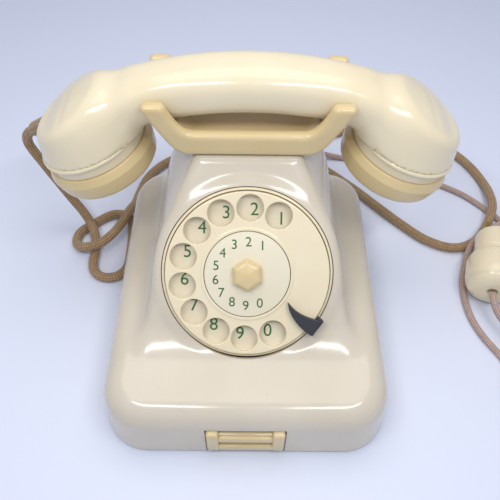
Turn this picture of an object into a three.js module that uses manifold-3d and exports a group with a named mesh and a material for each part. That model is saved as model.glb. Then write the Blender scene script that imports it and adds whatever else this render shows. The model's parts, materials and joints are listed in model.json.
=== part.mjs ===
// Rotary desk telephone of the early 1950s: an ivory moulded housing with a sloping dial, a forked
// cradle on top and a handset resting in it. Millimetres, +Z up, resting face of the feet at z = 0,
// -Y is the front with the dial, +X is the user's right.
import * as THREE from 'three';
import { mergeVertices } from 'three/addons/utils/BufferGeometryUtils.js';
import Module from 'manifold-3d';

const wasm = await Module();
wasm.setup();

// ---------------------------------------------------------------- driving dimensions
const GAP = 0.3;                       // clearance kept between neighbouring pieces
const HOUSING_FRONT = -92.4;           // bottom edge of the front wall
const HOUSING_REAR = 93.6;
const HOUSING_HALF_WIDTH = 79;
const HOUSING_CORNER = 25;             // plan radius of the four corners
const HOUSING_BOTTOM = 2;
const WALL = 3;                        // moulded wall thickness
const DRAFT = Math.tan(THREE.MathUtils.degToRad(4));
const SHOULDER_Z = 27;                 // height where the wall starts to round over
const SHOULDER_RADIUS = 11.5;
const DECK_RISE = 5;                   // the deck climbs this much from front to rear
const DIAL_CENTRE = new THREE.Vector3(0, -22.7, 72.5);
const DIAL_TILT = Math.PI / 4;
const COLLAR_RADIUS = 50;
const TOWER_TOP = 112.5;
const WHEEL_RADIUS = 44;
const WHEEL_THICKNESS = 3;
const FINGER_HOLE_RADIUS = 7.25;
const FINGER_HOLE_CIRCLE = 35.3;
const FINGER_HOLE_FIRST = 62.3;        // degrees, the hole of the digit one, seen from the front
const FINGER_HOLE_PITCH = 25.7;
const NUMBER_RING_FACE = -6.2;         // below the front face of the wheel
const CRADLE_BOTTOM = 113;
const CRADLE_FRONT = 24.5;
const CRADLE_REAR = 72.9;
const CRADLE_WALL = 6.6;
const HANDSET_Y = 48.7;                // plane that halves the handset
const HEAD_X = 88.5;                   // where the rim of each head is centred
const HEAD_Z = 106.2;
const HEAD_TILT = THREE.MathUtils.degToRad(18);
const HEAD_RADIUS = 30.35;
const CAP_TOP = -6.5;                  // along the head's axis, from its rim
const CAP_DEPTH = 16;
const CAP_RADIUS = 32.4;
const HANDSET_CORD_RADIUS = 3.2;
const LINE_CORD_RADIUS = 2.1;
const PLUG_FACE = new THREE.Vector3(157, 4, 17.6);   // middle of the plug's cord end
const PLUG_TURN = THREE.MathUtils.degToRad(-17.5);
const COIL_CENTRE = new THREE.Vector3(193, -50, 0);
const COIL_MEAN_RADIUS = 24;
const COIL_HALF_BAND = 6.6;            // three turns side by side
const COIL_HEIGHT = 17.6;
const RINGER_Y = -58;

// ---------------------------------------------------------------- finishes
function finish(color, roughness, metalness = 0) {
  return new THREE.MeshStandardMaterial({ color, roughness, metalness });
}
const IVORY_SHELL = finish('#e0d6c0', 0.22);
const IVORY_HANDSET = finish('#efe3c6', 0.2);
const IVORY_CRADLE = finish('#ddc898', 0.25);
const GREEN_PRINT = finish('#e8dfc8', 0.35);
const CHARCOAL = finish('#33343a', 0.4);
const BRAID_BROWN = finish('#97795a', 0.9);
const BRAID_PINK = finish('#b49a8a', 0.85);
const STEEL = finish('#a9abad', 0.35, 0.9);
const DARK_STEEL = finish('#55585a', 0.5, 0.8);
const BRASS = finish('#b79a55', 0.35, 0.9);
const RUBBER = finish('#2b2a29', 0.8);
const PHENOLIC = finish('#4a2f20', 0.5);
const COPPER = finish('#9c5a34', 0.5, 0.6);

// ---------------------------------------------------------------- solids
// Swaps the winding of a closed indexed geometry that encloses a negative volume.
function outward(geometry) {
  const bare = geometry.index ? geometry.clone() : geometry;
  for (const name of Object.keys(bare.attributes)) {
    if (name !== 'position') bare.deleteAttribute(name);
  }
  const merged = mergeVertices(bare, 1e-4);
  const p = merged.attributes.position;
  const [a, b, c] = [new THREE.Vector3(), new THREE.Vector3(), new THREE.Vector3()];
  const kept = [];
  let volume = 0;
  for (let i = 0; i < merged.index.count; i += 3) {
    const [i0, i1, i2] = [0, 1, 2].map((k) => merged.index.getX(i + k));
    if (i0 === i1 || i1 === i2 || i2 === i0) continue;
    kept.push(i0, i1, i2);
    a.fromBufferAttribute(p, i0);
    b.fromBufferAttribute(p, i1);
    c.fromBufferAttribute(p, i2);
    volume += a.dot(b.cross(c));
  }
  if (volume < 0) kept.reverse();
  merged.setIndex(kept);
  return merged;
}

function solid(geometry) {
  const closed = outward(geometry);
  return new wasm.Manifold(new wasm.Mesh({
    numProp: 3,
    vertProperties: new Float32Array(closed.attributes.position.array),
    triVerts: new Uint32Array(closed.index.array),
  }));
}

function shapeOf(manifold) {
  const mesh = manifold.getMesh();
  const geometry = new THREE.BufferGeometry();
  geometry.setAttribute('position', new THREE.BufferAttribute(mesh.vertProperties, 3));
  geometry.setIndex(new THREE.BufferAttribute(mesh.triVerts, 1));
  return geometry;
}

function join(first, ...others) {
  return others.reduce((sum, other) => sum.add(solid(other)), solid(first));
}

function cut(body, ...tools) {
  return tools.reduce((rest, tool) => rest.subtract(solid(tool)), body);
}

function box(x0, x1, y0, y1, z0, z1) {
  return new THREE.BoxGeometry(x1 - x0, y1 - y0, z1 - z0)
    .translate((x0 + x1) / 2, (y0 + y1) / 2, (z0 + z1) / 2);
}

// A turned piece about Z from a profile of [radius, height] points.
function turned(profile, segments = 32) {
  const points = profile.map(([r, z]) => new THREE.Vector2(r, z));
  return outward(new THREE.LatheGeometry(points, segments).rotateX(Math.PI / 2));
}

function rod(radius, z0, z1, segments = 16) {
  return turned([[0, z0], [radius, z0], [radius, z1], [0, z1]], segments);
}

function washer(inner, outer, z0, z1, segments = 32) {
  return turned([[inner, z0], [outer, z0], [outer, z1], [inner, z1], [inner, z0]], segments);
}

// An outline in the XY plane raised from z0 to z1.
function raised(outline, z0, z1, segments = 12) {
  const shape = outline instanceof THREE.Shape ? outline : new THREE.Shape(
    outline.map(([x, y]) => new THREE.Vector2(x, y)));
  return new THREE.ExtrudeGeometry(shape, { depth: z1 - z0, bevelEnabled: false,
    curveSegments: segments }).translate(0, 0, z0);
}

// An outline drawn in X and Z, carried from y0 to y1.
function carried(outline, y0, y1) {
  return raised(outline, 0, y1 - y0).rotateX(Math.PI / 2).translate(0, y1, 0);
}

// A skin over rings of equal point count, closed at both ends.
function lofted(rings) {
  const count = rings[0].length;
  const points = rings.flat();
  const faces = [];
  for (let r = 0; r + 1 < rings.length; r += 1) {
    for (let i = 0; i < count; i += 1) {
      const a = r * count + i;
      const b = r * count + (i + 1) % count;
      faces.push(a, b, a + count, b, b + count, a + count);
    }
  }
  for (const [start, flip] of [[0, true], [(rings.length - 1) * count, false]]) {
    const middle = new THREE.Vector3();
    for (let i = 0; i < count; i += 1) middle.addScaledVector(points[start + i], 1 / count);
    points.push(middle);
    for (let i = 0; i < count; i += 1) {
      const [a, b] = [start + i, start + (i + 1) % count];
      faces.push(...(flip ? [b, a, points.length - 1] : [a, b, points.length - 1]));
    }
  }
  const geometry = new THREE.BufferGeometry().setFromPoints(points);
  geometry.setIndex(faces);
  return outward(geometry);
}

// A rounded rectangle in plan at one height, with its own front and rear corner radii.
function planRing(halfWidth, front, rear, frontRadius, rearRadius, height, perCorner = 5) {
  const corners = [
    [halfWidth - rearRadius, rear - rearRadius, rearRadius, 0],
    [-halfWidth + rearRadius, rear - rearRadius, rearRadius, 90],
    [-halfWidth + frontRadius, front + frontRadius, frontRadius, 180],
    [halfWidth - frontRadius, front + frontRadius, frontRadius, 270],
  ];
  return corners.flatMap(([x, y, radius, start]) => Array.from({ length: perCorner }, (_, i) => {
    const angle = THREE.MathUtils.degToRad(start + 90 * i / (perCorner - 1));
    const px = x + radius * Math.cos(angle);
    const py = y + radius * Math.sin(angle);
    return new THREE.Vector3(px, py, height(py));
  }));
}

// A plain round cord along hand-set points.
function cordTube(points, radius, steps, sides) {
  const path = new THREE.CatmullRomCurve3(points.map((p) => new THREE.Vector3(...p)), false,
    'centripetal');
  const section = new THREE.Shape(Array.from({ length: sides }, (_, i) => {
    const angle = 2 * Math.PI * i / sides;
    return new THREE.Vector2(radius * Math.cos(angle), radius * Math.sin(angle));
  }));
  return new THREE.ExtrudeGeometry(section, { steps, bevelEnabled: false, extrudePath: path });
}

// The outline of a gear with plain straight-sided teeth.
function toothed(count, tip, depth) {
  const points = [];
  for (let i = 0; i < count; i += 1) {
    for (const [share, radius] of [[0, tip - depth], [0.3, tip - depth], [0.45, tip], [0.85, tip]]) {
      const angle = 2 * Math.PI * (i + share) / count;
      points.push([radius * Math.cos(angle), radius * Math.sin(angle)]);
    }
  }
  return points;
}

const telephone = new THREE.Group();

function piece(name, body, material, parent = telephone) {
  const geometry = body.isBufferGeometry ? body : shapeOf(body);
  const mesh = new THREE.Mesh(outward(geometry), material);
  mesh.name = name;
  parent.add(mesh);
  return mesh;
}

// A turned piece lying along X or Y has its axis laid over from Z.
function alongY(geometry) {
  return geometry.rotateX(-Math.PI / 2);
}

function alongX(geometry) {
  return geometry.rotateY(Math.PI / 2);
}

// ---------------------------------------------------------------- housing
const dialFrame = new THREE.Matrix4().makeRotationX(DIAL_TILT).setPosition(DIAL_CENTRE);

function deckHeight(z, y) {
  const climb = (y - HOUSING_FRONT) / (HOUSING_REAR - HOUSING_FRONT);
  return z + DECK_RISE * climb * (z - HOUSING_BOTTOM) / (SHOULDER_Z + SHOULDER_RADIUS);
}

// The low box of the housing, drawn in by a uniform wall for its inside.
function deckBody(inset, bottom) {
  const rings = [];
  const ring = (z, narrowing) => {
    const side = narrowing + inset;
    const corner = Math.max(HOUSING_CORNER - side * 0.6, 6);
    rings.push(planRing(HOUSING_HALF_WIDTH - side, HOUSING_FRONT + side, HOUSING_REAR - side,
      corner, corner, (y) => deckHeight(z, y) - inset * (z > SHOULDER_Z ? 1 : 0), 5));
  };
  ring(bottom, 0);
  const shoulderInset = (SHOULDER_Z - HOUSING_BOTTOM) * DRAFT;
  for (let i = 0; i <= 4; i += 1) {
    const angle = i / 4 * Math.PI / 2;
    const lift = SHOULDER_RADIUS * Math.sin(angle);
    ring(SHOULDER_Z + lift, shoulderInset + SHOULDER_RADIUS * (1 - Math.cos(angle)));
  }
  return lofted(rings);
}

// The tower stations: height, half width, front, rear.
const TOWER = [
  [30, 60, -52, 86], [44, 57, -43, 84], [55, 53.5, -33.5, 81.5], [69, 50.2, -19.2, 79],
  [83.5, 46, -4.6, 77], [98, 37, 9.9, 75], [TOWER_TOP, 28, 24.4, 73],
];

function towerBody(inset, top) {
  return lofted(TOWER.map(([z, halfWidth, front, rear], i) => {
    const level = i === TOWER.length - 1 ? top : z;
    return planRing(halfWidth - inset, front + inset * 2.8, rear - inset, 5, 14,
      () => level, 4);
  }));
}

const collar = rod(COLLAR_RADIUS, -40, -5, 40).applyMatrix4(dialFrame);
const dialWell = rod(42.6, -60, 0, 40).applyMatrix4(dialFrame);
const bezelSeat = rod(46.6, -9.2, 4, 40).applyMatrix4(dialFrame);
const innerDeck = deckBody(WALL, HOUSING_BOTTOM - 1);
const innerTower = towerBody(WALL, TOWER_TOP - WALL);
const outer = join(deckBody(0, HOUSING_BOTTOM), towerBody(0, TOWER_TOP), collar)
  .subtract(solid(box(-100, 100, -100, 100, -20, HOUSING_BOTTOM)));
const hollow = join(innerDeck, innerTower,
  rod(COLLAR_RADIUS - WALL, -40, -12.5, 40).applyMatrix4(dialFrame));
const trayDoor = box(-21.6, 21.6, HOUSING_FRONT - 5, HOUSING_FRONT + 8, 0, 27);
const GLAND_X = 22;
const GLAND_Z = 14;
const glandHoles = [-GLAND_X, GLAND_X].map((x) => alongY(rod(5.3, -12, 4, 16))
  .translate(x, HOUSING_REAR, GLAND_Z));
const plungerHole = rod(4.6, TOWER_TOP - 8, TOWER_TOP + 2).translate(0, HANDSET_Y, 0);
piece('housing', shapeOf(cut(outer.subtract(hollow), dialWell, bezelSeat, trayDoor,
  plungerHole, ...glandHoles)), IVORY_SHELL);

// ---------------------------------------------------------------- base plate, feet, tray
const PLATE_Z0 = 3.4;                  // under and upper face of the steel plate
const PLATE_Z1 = 4.8;
const FOOT_SPOTS = { front_left: [-58, -70], front_right: [58, -70],
  rear_left: [-58, 72], rear_right: [58, 72] };
const SCREW_SPOTS = { left: [-66, 6], right: [66, 6] };
const plateInset = WALL + 0.5;
const plateRing = planRing(HOUSING_HALF_WIDTH - plateInset, HOUSING_FRONT + plateInset,
  HOUSING_REAR - plateInset, 22.9, 22.9, () => 0).map((p) => [p.x, p.y]);
const plateHoles = [...Object.values(FOOT_SPOTS), ...Object.values(SCREW_SPOTS)].map(([x, y]) =>
  rod(2.4, 0, 8).translate(x, y, 0));
piece('base_plate', shapeOf(cut(solid(raised(plateRing, PLATE_Z0, PLATE_Z1)), ...plateHoles,
  box(-22, 22, HOUSING_FRONT - 1, HOUSING_FRONT + 8, 0, 8))), DARK_STEEL);

for (const [spot, [x, y]] of Object.entries(FOOT_SPOTS)) {
  piece(`foot_${spot}`, turned([[0, 0], [8, 0], [8.6, 3.1], [2, 3.1], [2, 7.2], [0, 7.2]], 20)
    .translate(x, y, 0), RUBBER);
}
for (const [side, [x, y]] of Object.entries(SCREW_SPOTS)) {
  piece(`housing_screw_${side}`, turned([[0, 1.4], [4, 1.4], [4, 3.1], [1.8, 3.1], [1.8, 14],
    [0, 14]], 16).translate(x, y, 0), STEEL);
}

const TRAY_HALF = 18.5;
const guide = cut(solid(box(-TRAY_HALF - 1.7, TRAY_HALF + 1.7, -83.5, 10, 5.1, 10.9)),
  box(-TRAY_HALF - 0.6, TRAY_HALF + 0.6, -90, 8.6, 6, 10));
piece('tray_guide', shapeOf(guide), STEEL);

const HANDLE_OUT = HOUSING_FRONT - 1.2;      // front of the pull frame, just proud of the wall
const pull = new THREE.Shape();
pull.moveTo(-21, 4.4);
pull.lineTo(21, 4.4);
pull.lineTo(21, 24.5);
pull.quadraticCurveTo(21, 26.3, 17.8, 26.3);
pull.quadraticCurveTo(14.6, 26.3, 14.6, 23);
pull.lineTo(-14.6, 23);
pull.quadraticCurveTo(-14.6, 26.3, -17.8, 26.3);
pull.quadraticCurveTo(-21, 26.3, -21, 24.5);
const pullFrame = cut(solid(carried(pull, HANDLE_OUT, HANDLE_OUT + 8.5)),
  box(-14.4, 14.4, HANDLE_OUT - 1, HANDLE_OUT + 7, 10.2, 15.4),
  box(-14.6, 14.6, HANDLE_OUT - 1, HANDLE_OUT + 2.2, 21, 28));
piece('note_tray', shapeOf(pullFrame.add(solid(box(-TRAY_HALF, TRAY_HALF, HANDLE_OUT + 4, 6,
  6.6, 8.4))).add(solid(box(-TRAY_HALF, TRAY_HALF, 4.5, 6, 6.6, 9.6)))), IVORY_CRADLE);

// ---------------------------------------------------------------- cradle and hook switch
const cradle = new THREE.Shape();
cradle.moveTo(0, CRADLE_BOTTOM);
cradle.lineTo(33, CRADLE_BOTTOM);
cradle.quadraticCurveTo(39, 114.5, 43, 121.8);
cradle.quadraticCurveTo(49, 132, 53.4, 140.4);
cradle.quadraticCurveTo(54, 143.4, 50.5, 143.6);
cradle.lineTo(45, 143.6);
cradle.quadraticCurveTo(42, 143.4, 41, 140.6);
cradle.quadraticCurveTo(36, 127.5, 29, 126.4);
cradle.lineTo(-29, 126.4);
cradle.quadraticCurveTo(-36, 127.5, -41, 140.6);
cradle.quadraticCurveTo(-42, 143.4, -45, 143.6);
cradle.lineTo(-50.5, 143.6);
cradle.quadraticCurveTo(-54, 143.4, -53.4, 140.4);
cradle.quadraticCurveTo(-49, 132, -43, 121.8);
cradle.quadraticCurveTo(-39, 114.5, -33, CRADLE_BOTTOM);
const trough = [[-70, 150], [-70, 121.8], [-44, 123.4], [-38, 123.8], [-31, 118], [31, 118],
  [38, 123.8], [44, 123.4], [70, 121.8], [70, 150]];
piece('cradle', shapeOf(cut(solid(carried(cradle, CRADLE_FRONT, CRADLE_REAR)),
  carried(trough, CRADLE_FRONT + CRADLE_WALL, CRADLE_REAR - CRADLE_WALL))), IVORY_CRADLE);

const PLUNGER_FOOT = 60;
piece('cradle_plunger', rod(3, PLUNGER_FOOT, CRADLE_BOTTOM - GAP).translate(0, HANDSET_Y, 0), STEEL);
piece('spring_collar', washer(3.3, 5.5, 84, 86, 16).translate(0, HANDSET_Y, 0), STEEL);
piece('cradle_spring', washer(3.5, 5, 64.5, 83.6, 12).translate(0, HANDSET_Y, 0), STEEL);
const guideLegs = [-1, 1].map((side) => box(side * 9 - 1, side * 9 + 1, -4, 4, 62, 104));
const plungerGuide = cut(join(rod(4.3, 95, TOWER_TOP - 0.5), rod(9.6, 104, TOWER_TOP - WALL - 0.4),
  box(-10, 10, -6, 6, 62, 64), ...guideLegs), rod(3.4, 50, 120));
piece('plunger_guide', shapeOf(plungerGuide).translate(0, HANDSET_Y, 0), BRASS);

const HOOK_PIVOT = [72, 56];                 // y and z of the lever's pin
piece('hook_lever', shapeOf(cut(join(box(-4, 4, 44, 75, 57.5, 59.2),
  alongX(rod(3.4, -4, 4)).translate(0, HOOK_PIVOT[0], HOOK_PIVOT[1])),
alongX(rod(1.7, -6, 6)).translate(0, HOOK_PIVOT[0], HOOK_PIVOT[1]))), STEEL);
piece('hook_pin', alongX(rod(1.4, -8, 8)).translate(0, HOOK_PIVOT[0], HOOK_PIVOT[1]), STEEL);
const bracketWall = (x0, x1) => box(x0, x1, 67, 76.5, PLATE_Z1 + GAP, 61);
piece('hook_bracket', shapeOf(cut(join(bracketWall(-8, -5), bracketWall(5, 8),
  box(-8, 8, 67, 76.5, PLATE_Z1 + GAP, 8)),
alongX(rod(1.7, -12, 12)).translate(0, HOOK_PIVOT[0], HOOK_PIVOT[1]))), STEEL);
piece('contact_stack', box(-4, 4, 50, 66.7, 30, 56), PHENOLIC);

// ---------------------------------------------------------------- dial
const dial = new THREE.Group();
dial.position.copy(DIAL_CENTRE);
dial.rotation.x = DIAL_TILT;
telephone.add(dial);

const CASE_FLANGE = 46;
const GEAR_TIP = 18.6;
const PINION_TIP = 3.2;
const GOVERNOR_X = GEAR_TIP + PINION_TIP + 0.6;   // the teeth run clear of each other
const caseBody = cut(join(turned([[0, -26], [36, -26], [38.5, -24], [38.5, -8], [0, -8]], 36),
  turned([[38, -10], [42, -10], [42, -8.8], [CASE_FLANGE, -8.8], [CASE_FLANGE, -3.8], [45.2, -2.9],
    [44.7, -2.9], [44.8, -7.8], [38, -7.8], [38, -10]], 36)),
rod(36, -23.5, 0, 36), rod(3.3, -30, 0), rod(1.9, -30, 0).translate(GOVERNOR_X, 0, 0));
piece('dial_case', shapeOf(caseBody), IVORY_SHELL, dial);
piece('number_ring', washer(12, 44.4, NUMBER_RING_FACE - 1.3, NUMBER_RING_FACE, 32),
  GREEN_PRINT, dial);

const fingerHoles = Array.from({ length: 10 }, (_, k) => {
  const angle = THREE.MathUtils.degToRad(FINGER_HOLE_FIRST + FINGER_HOLE_PITCH * k);
  return rod(FINGER_HOLE_RADIUS, -8, 4, 12).translate(FINGER_HOLE_CIRCLE * Math.cos(angle),
    FINGER_HOLE_CIRCLE * Math.sin(angle), 0);
});
const CARD_RADIUS = 22.9;
const wheelBlank = turned([[0, -WHEEL_THICKNESS], [43.4, -WHEEL_THICKNESS], [WHEEL_RADIUS, -2.2],
  [WHEEL_RADIUS, -0.7], [43.2, 0], [25, 0], [24.6, 0.5], [CARD_RADIUS + GAP, 0.5],
  [CARD_RADIUS + GAP, -0.6], [0, -0.6]], 44);
piece('finger_wheel', shapeOf(cut(solid(wheelBlank), rod(2.6, -8, 4), ...fingerHoles)),
  IVORY_HANDSET, dial);
piece('number_card', washer(3, CARD_RADIUS, -0.3, 0.2, 28), GREEN_PRINT, dial);
piece('centre_button', turned([[0, 0.5], [8.8, 0.5], [8.8, 3], [7.6, 4.6], [4.5, 6.2],
  [0, 6.8]], 6), IVORY_CRADLE, dial);
piece('dial_shaft', rod(2.2, -25.5, 0.2), STEEL, dial);
piece('dial_gear', shapeOf(cut(solid(raised(toothed(36, GEAR_TIP, 1.2), -20, -18)),
  rod(2.5, -30, 0))), BRASS, dial);
piece('dial_mainspring', washer(6, 17, -16.5, -11, 28), STEEL, dial);

const STOP_ANGLE = THREE.MathUtils.degToRad(-36.5);
const stopOutline = new THREE.Shape();
stopOutline.moveTo(26.6, 1.2);
stopOutline.quadraticCurveTo(35, -1.6, 44.6, 4.2);
stopOutline.lineTo(47.8, 5.2);
stopOutline.lineTo(48.4, -6.4);
stopOutline.quadraticCurveTo(36, -7.6, 26.2, 0.2);
const stopArm = raised(stopOutline, 0.8, 3, 6);
const stopFoot = box(44.6, 48, -5.4, 4.6, -2.4, 2);
piece('finger_stop', join(stopArm, stopFoot), CHARCOAL, dial).rotation.z = STOP_ANGLE;

// The governor shaft stands beside the gear and turns six times as fast.
piece('governor', shapeOf(join(rod(1.5, -25.4, -9.2, 12), rod(4.2, -16, -10.5, 16),
  raised(toothed(6, PINION_TIP, 1), -20.5, -17.5))).translate(GOVERNOR_X, 0, 0), BRASS, dial);
piece('pulse_contacts', box(-9, 9, 24, 31, -23, -12), PHENOLIC, dial);

// ---------------------------------------------------------------- ringer
const GONG_X = 31;
for (const [side, x] of [['left', -GONG_X], ['right', GONG_X]]) {
  piece(`gong_${side}`, turned([[2.3, 26], [8, 26], [16, 24.5], [21.5, 20.5], [24, 14.5], [23, 14.5],
    [20.5, 19.8], [15.5, 23.4], [8, 24.8], [2.3, 24.8], [2.3, 26]], 20).translate(x, RINGER_Y, 0),
  STEEL);
  piece(`gong_post_${side}`, turned([[0, PLATE_Z1 + GAP], [4, PLATE_Z1 + GAP], [4, 24.4], [1.9, 24.4],
    [1.9, 28.5], [0, 28.5]], 14).translate(x, RINGER_Y, 0), BRASS);
  piece(`ringer_coil_${side}`, alongY(washer(2.4, 6.5, -30, -8, 20))
    .translate(Math.sign(x) * 8.6, 0, 18.4), COPPER);
}
piece('ringer_yoke', join(box(-16, 16, -7.4, -4, 11.4, 25),
  alongY(rod(2, -31.6, -6, 12)).translate(-8.6, 0, 18.4),
  alongY(rod(2, -31.6, -6, 12)).translate(8.6, 0, 18.4)), DARK_STEEL);
const CLAPPER_PIVOT_Y = -36;
piece('clapper', shapeOf(cut(join(box(-13, 13, -37.5, -34.5, 16.6, 20.2),
  box(-0.8, 0.8, -57, -36, 17.6, 19.2), rod(3, 15.6, 21.2, 14).translate(0, RINGER_Y, 0),
  rod(3, 16.6, 20.2, 16).translate(0, CLAPPER_PIVOT_Y, 0)),
rod(1.5, 0, 30).translate(0, CLAPPER_PIVOT_Y, 0))), STEEL);
piece('clapper_pin', turned([[0, 11.4], [3, 11.4], [3, 16], [1.2, 16], [1.2, 21], [0, 21]], 14)
  .translate(0, CLAPPER_PIVOT_Y, 0), STEEL);

// ---------------------------------------------------------------- circuit parts on the plate
piece('capacitor', box(-66, -30, 22, 62, PLATE_Z1 + GAP, 27), STEEL);
piece('induction_coil', join(box(30, 66, 22, 62, PLATE_Z1 + GAP, 8),
  alongY(rod(11, 26, 58, 20)).translate(48, 0, 19),
  box(36, 60, 22, 26, PLATE_Z1 + GAP, 30), box(36, 60, 58, 62, PLATE_Z1 + GAP, 30)), COPPER);
piece('terminal_block', box(-28, 28, 81.5, 87, 22, 32), PHENOLIC);

// ---------------------------------------------------------------- handset
// Stations of the handle: x, bottom, top, half width.
const HANDLE = [[0, 129.4, 155.4, 16.5], [14, 128.9, 155, 16.5], [28, 127.3, 153.6, 16.5],
  [42, 124.8, 151.2, 16.4], [54, 121, 147.4, 17], [64, 115.5, 143, 18.6], [76, 107.5, 136.4, 19.6],
  [88, 103, 129, 18.5], [98, 104, 122.5, 15]];

function handleRing([x, bottom, top, halfWidth], side) {
  const [middle, halfHeight] = [(top + bottom) / 2, (top - bottom) / 2];
  return Array.from({ length: 16 }, (_, i) => {
    const angle = 2 * Math.PI * (i + 0.5) / 16;
    const soften = (t) => Math.sign(t) * Math.abs(t) ** 0.8;
    return new THREE.Vector3(side * x, HANDSET_Y + halfWidth * soften(Math.cos(angle)),
      middle + halfHeight * soften(Math.sin(angle)));
  });
}
const handle = lofted([...HANDLE.slice(1).reverse().map((s) => handleRing(s, -1)),
  ...HANDLE.map((s) => handleRing(s, 1))]);
const headPlace = (side) => new THREE.Matrix4().makeRotationY(side * HEAD_TILT)
  .setPosition(side * HEAD_X, HANDSET_Y, HEAD_Z);
const headBlank = [[0, -15], [26.8, -15], [26.8, CAP_TOP + GAP], [29.4, CAP_TOP + GAP], [29.4, -1],
  [HEAD_RADIUS, -0.6], [HEAD_RADIUS, 1.4], [28.9, 4.6], [25.6, 10.5], [20.5, 16.8], [12, 22],
  [0, 24]];
const headHollow = [[0, -20], [24, -20], [24, 3], [17, 9], [0, 9]];
const silhouette = [[0, 156.4], [24.5, 155], [49.7, 149.8], [77.3, 137.4], [101.7, 123.8],
  [110.5, 117.6], [113, 113], [121, 92], [125, 70], [0, 70]];
const outline = [...silhouette, ...silhouette.slice(1, -1).reverse().map(([x, z]) => [-x, z])];
const RELIEF_START = new THREE.Vector3(-101.5, 68.6, 108.2);
const RELIEF_WAY = new THREE.Vector3(-0.765, 0.281, -0.581).normalize();
const RELIEF_LENGTH = 46;
const reliefPlace = new THREE.Matrix4().compose(RELIEF_START,
  new THREE.Quaternion().setFromUnitVectors(new THREE.Vector3(0, 0, 1), RELIEF_WAY),
  new THREE.Vector3(1, 1, 1));
const handsetBlank = join(handle, turned(headBlank, 30).applyMatrix4(headPlace(-1)),
  turned(headBlank, 30).applyMatrix4(headPlace(1)));
const handsetBody = cut(handsetBlank.intersect(solid(carried(outline, -20, 120))),
  turned(headHollow, 24).applyMatrix4(headPlace(-1)),
  turned(headHollow, 24).applyMatrix4(headPlace(1)),
  rod(5.6, -0.4, 40).applyMatrix4(reliefPlace));
piece('handset_body', shapeOf(handsetBody), IVORY_HANDSET);

const CAP_BOTTOM = CAP_TOP - CAP_DEPTH;
for (const [cap, capsule, side] of [['mouth_cap', 'microphone_capsule', -1],
  ['ear_cap', 'receiver_capsule', 1]]) {
  const head = new THREE.Group();
  head.applyMatrix4(headPlace(side));
  telephone.add(head);
  const shell = turned([[0, CAP_BOTTOM + 1.4], [20, CAP_BOTTOM + 1.4], [22, CAP_BOTTOM],
    [28.5, CAP_BOTTOM], [30.4, CAP_BOTTOM + 1.6], [31.7, -15], [CAP_RADIUS, -10.6],
    [CAP_RADIUS, -9.8], [30.4, CAP_TOP], [27.2, CAP_TOP], [27.2, CAP_BOTTOM + 5.4],
    [0, CAP_BOTTOM + 5.4]], 30);
  const perforations = Array.from({ length: 7 }, (_, i) => {
    const angle = 2 * Math.PI * i / 6;
    const reach = i === 6 ? 0 : 9;
    return rod(1.6, CAP_BOTTOM - 1, CAP_BOTTOM + 7, 8)
      .translate(reach * Math.cos(angle), reach * Math.sin(angle), 0);
  });
  piece(cap, shapeOf(cut(solid(shell), ...perforations)), IVORY_CRADLE, head);
  piece(capsule, rod(23.4, CAP_BOTTOM + 6.4, -5, 28), STEEL, head);
}
piece('handset_strain_relief', turned([[0, 0], [5.2, 0], [5.2, 9], [5, 20], [4.8, RELIEF_LENGTH],
  [0, RELIEF_LENGTH]], 16).applyMatrix4(reliefPlace), BRAID_BROWN);

// ---------------------------------------------------------------- cords, glands and plug
for (const [name, x] of [['handset_cord_gland', -GLAND_X], ['line_cord_gland', GLAND_X]]) {
  piece(name, alongY(turned([[0, -6], [7, -6], [7, -4.4], [4.9, -4.4], [4.9, 0.4], [6.4, 0.4],
    [6.4, 2.4], [4.6, 4], [3.4, 22], [0, 22]], 18)).translate(x, HOUSING_REAR, GLAND_Z), RUBBER);
}
const GLAND_END = HOUSING_REAR + 22 + GAP;
const reliefEnd = RELIEF_START.clone().addScaledVector(RELIEF_WAY, RELIEF_LENGTH + GAP);

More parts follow.
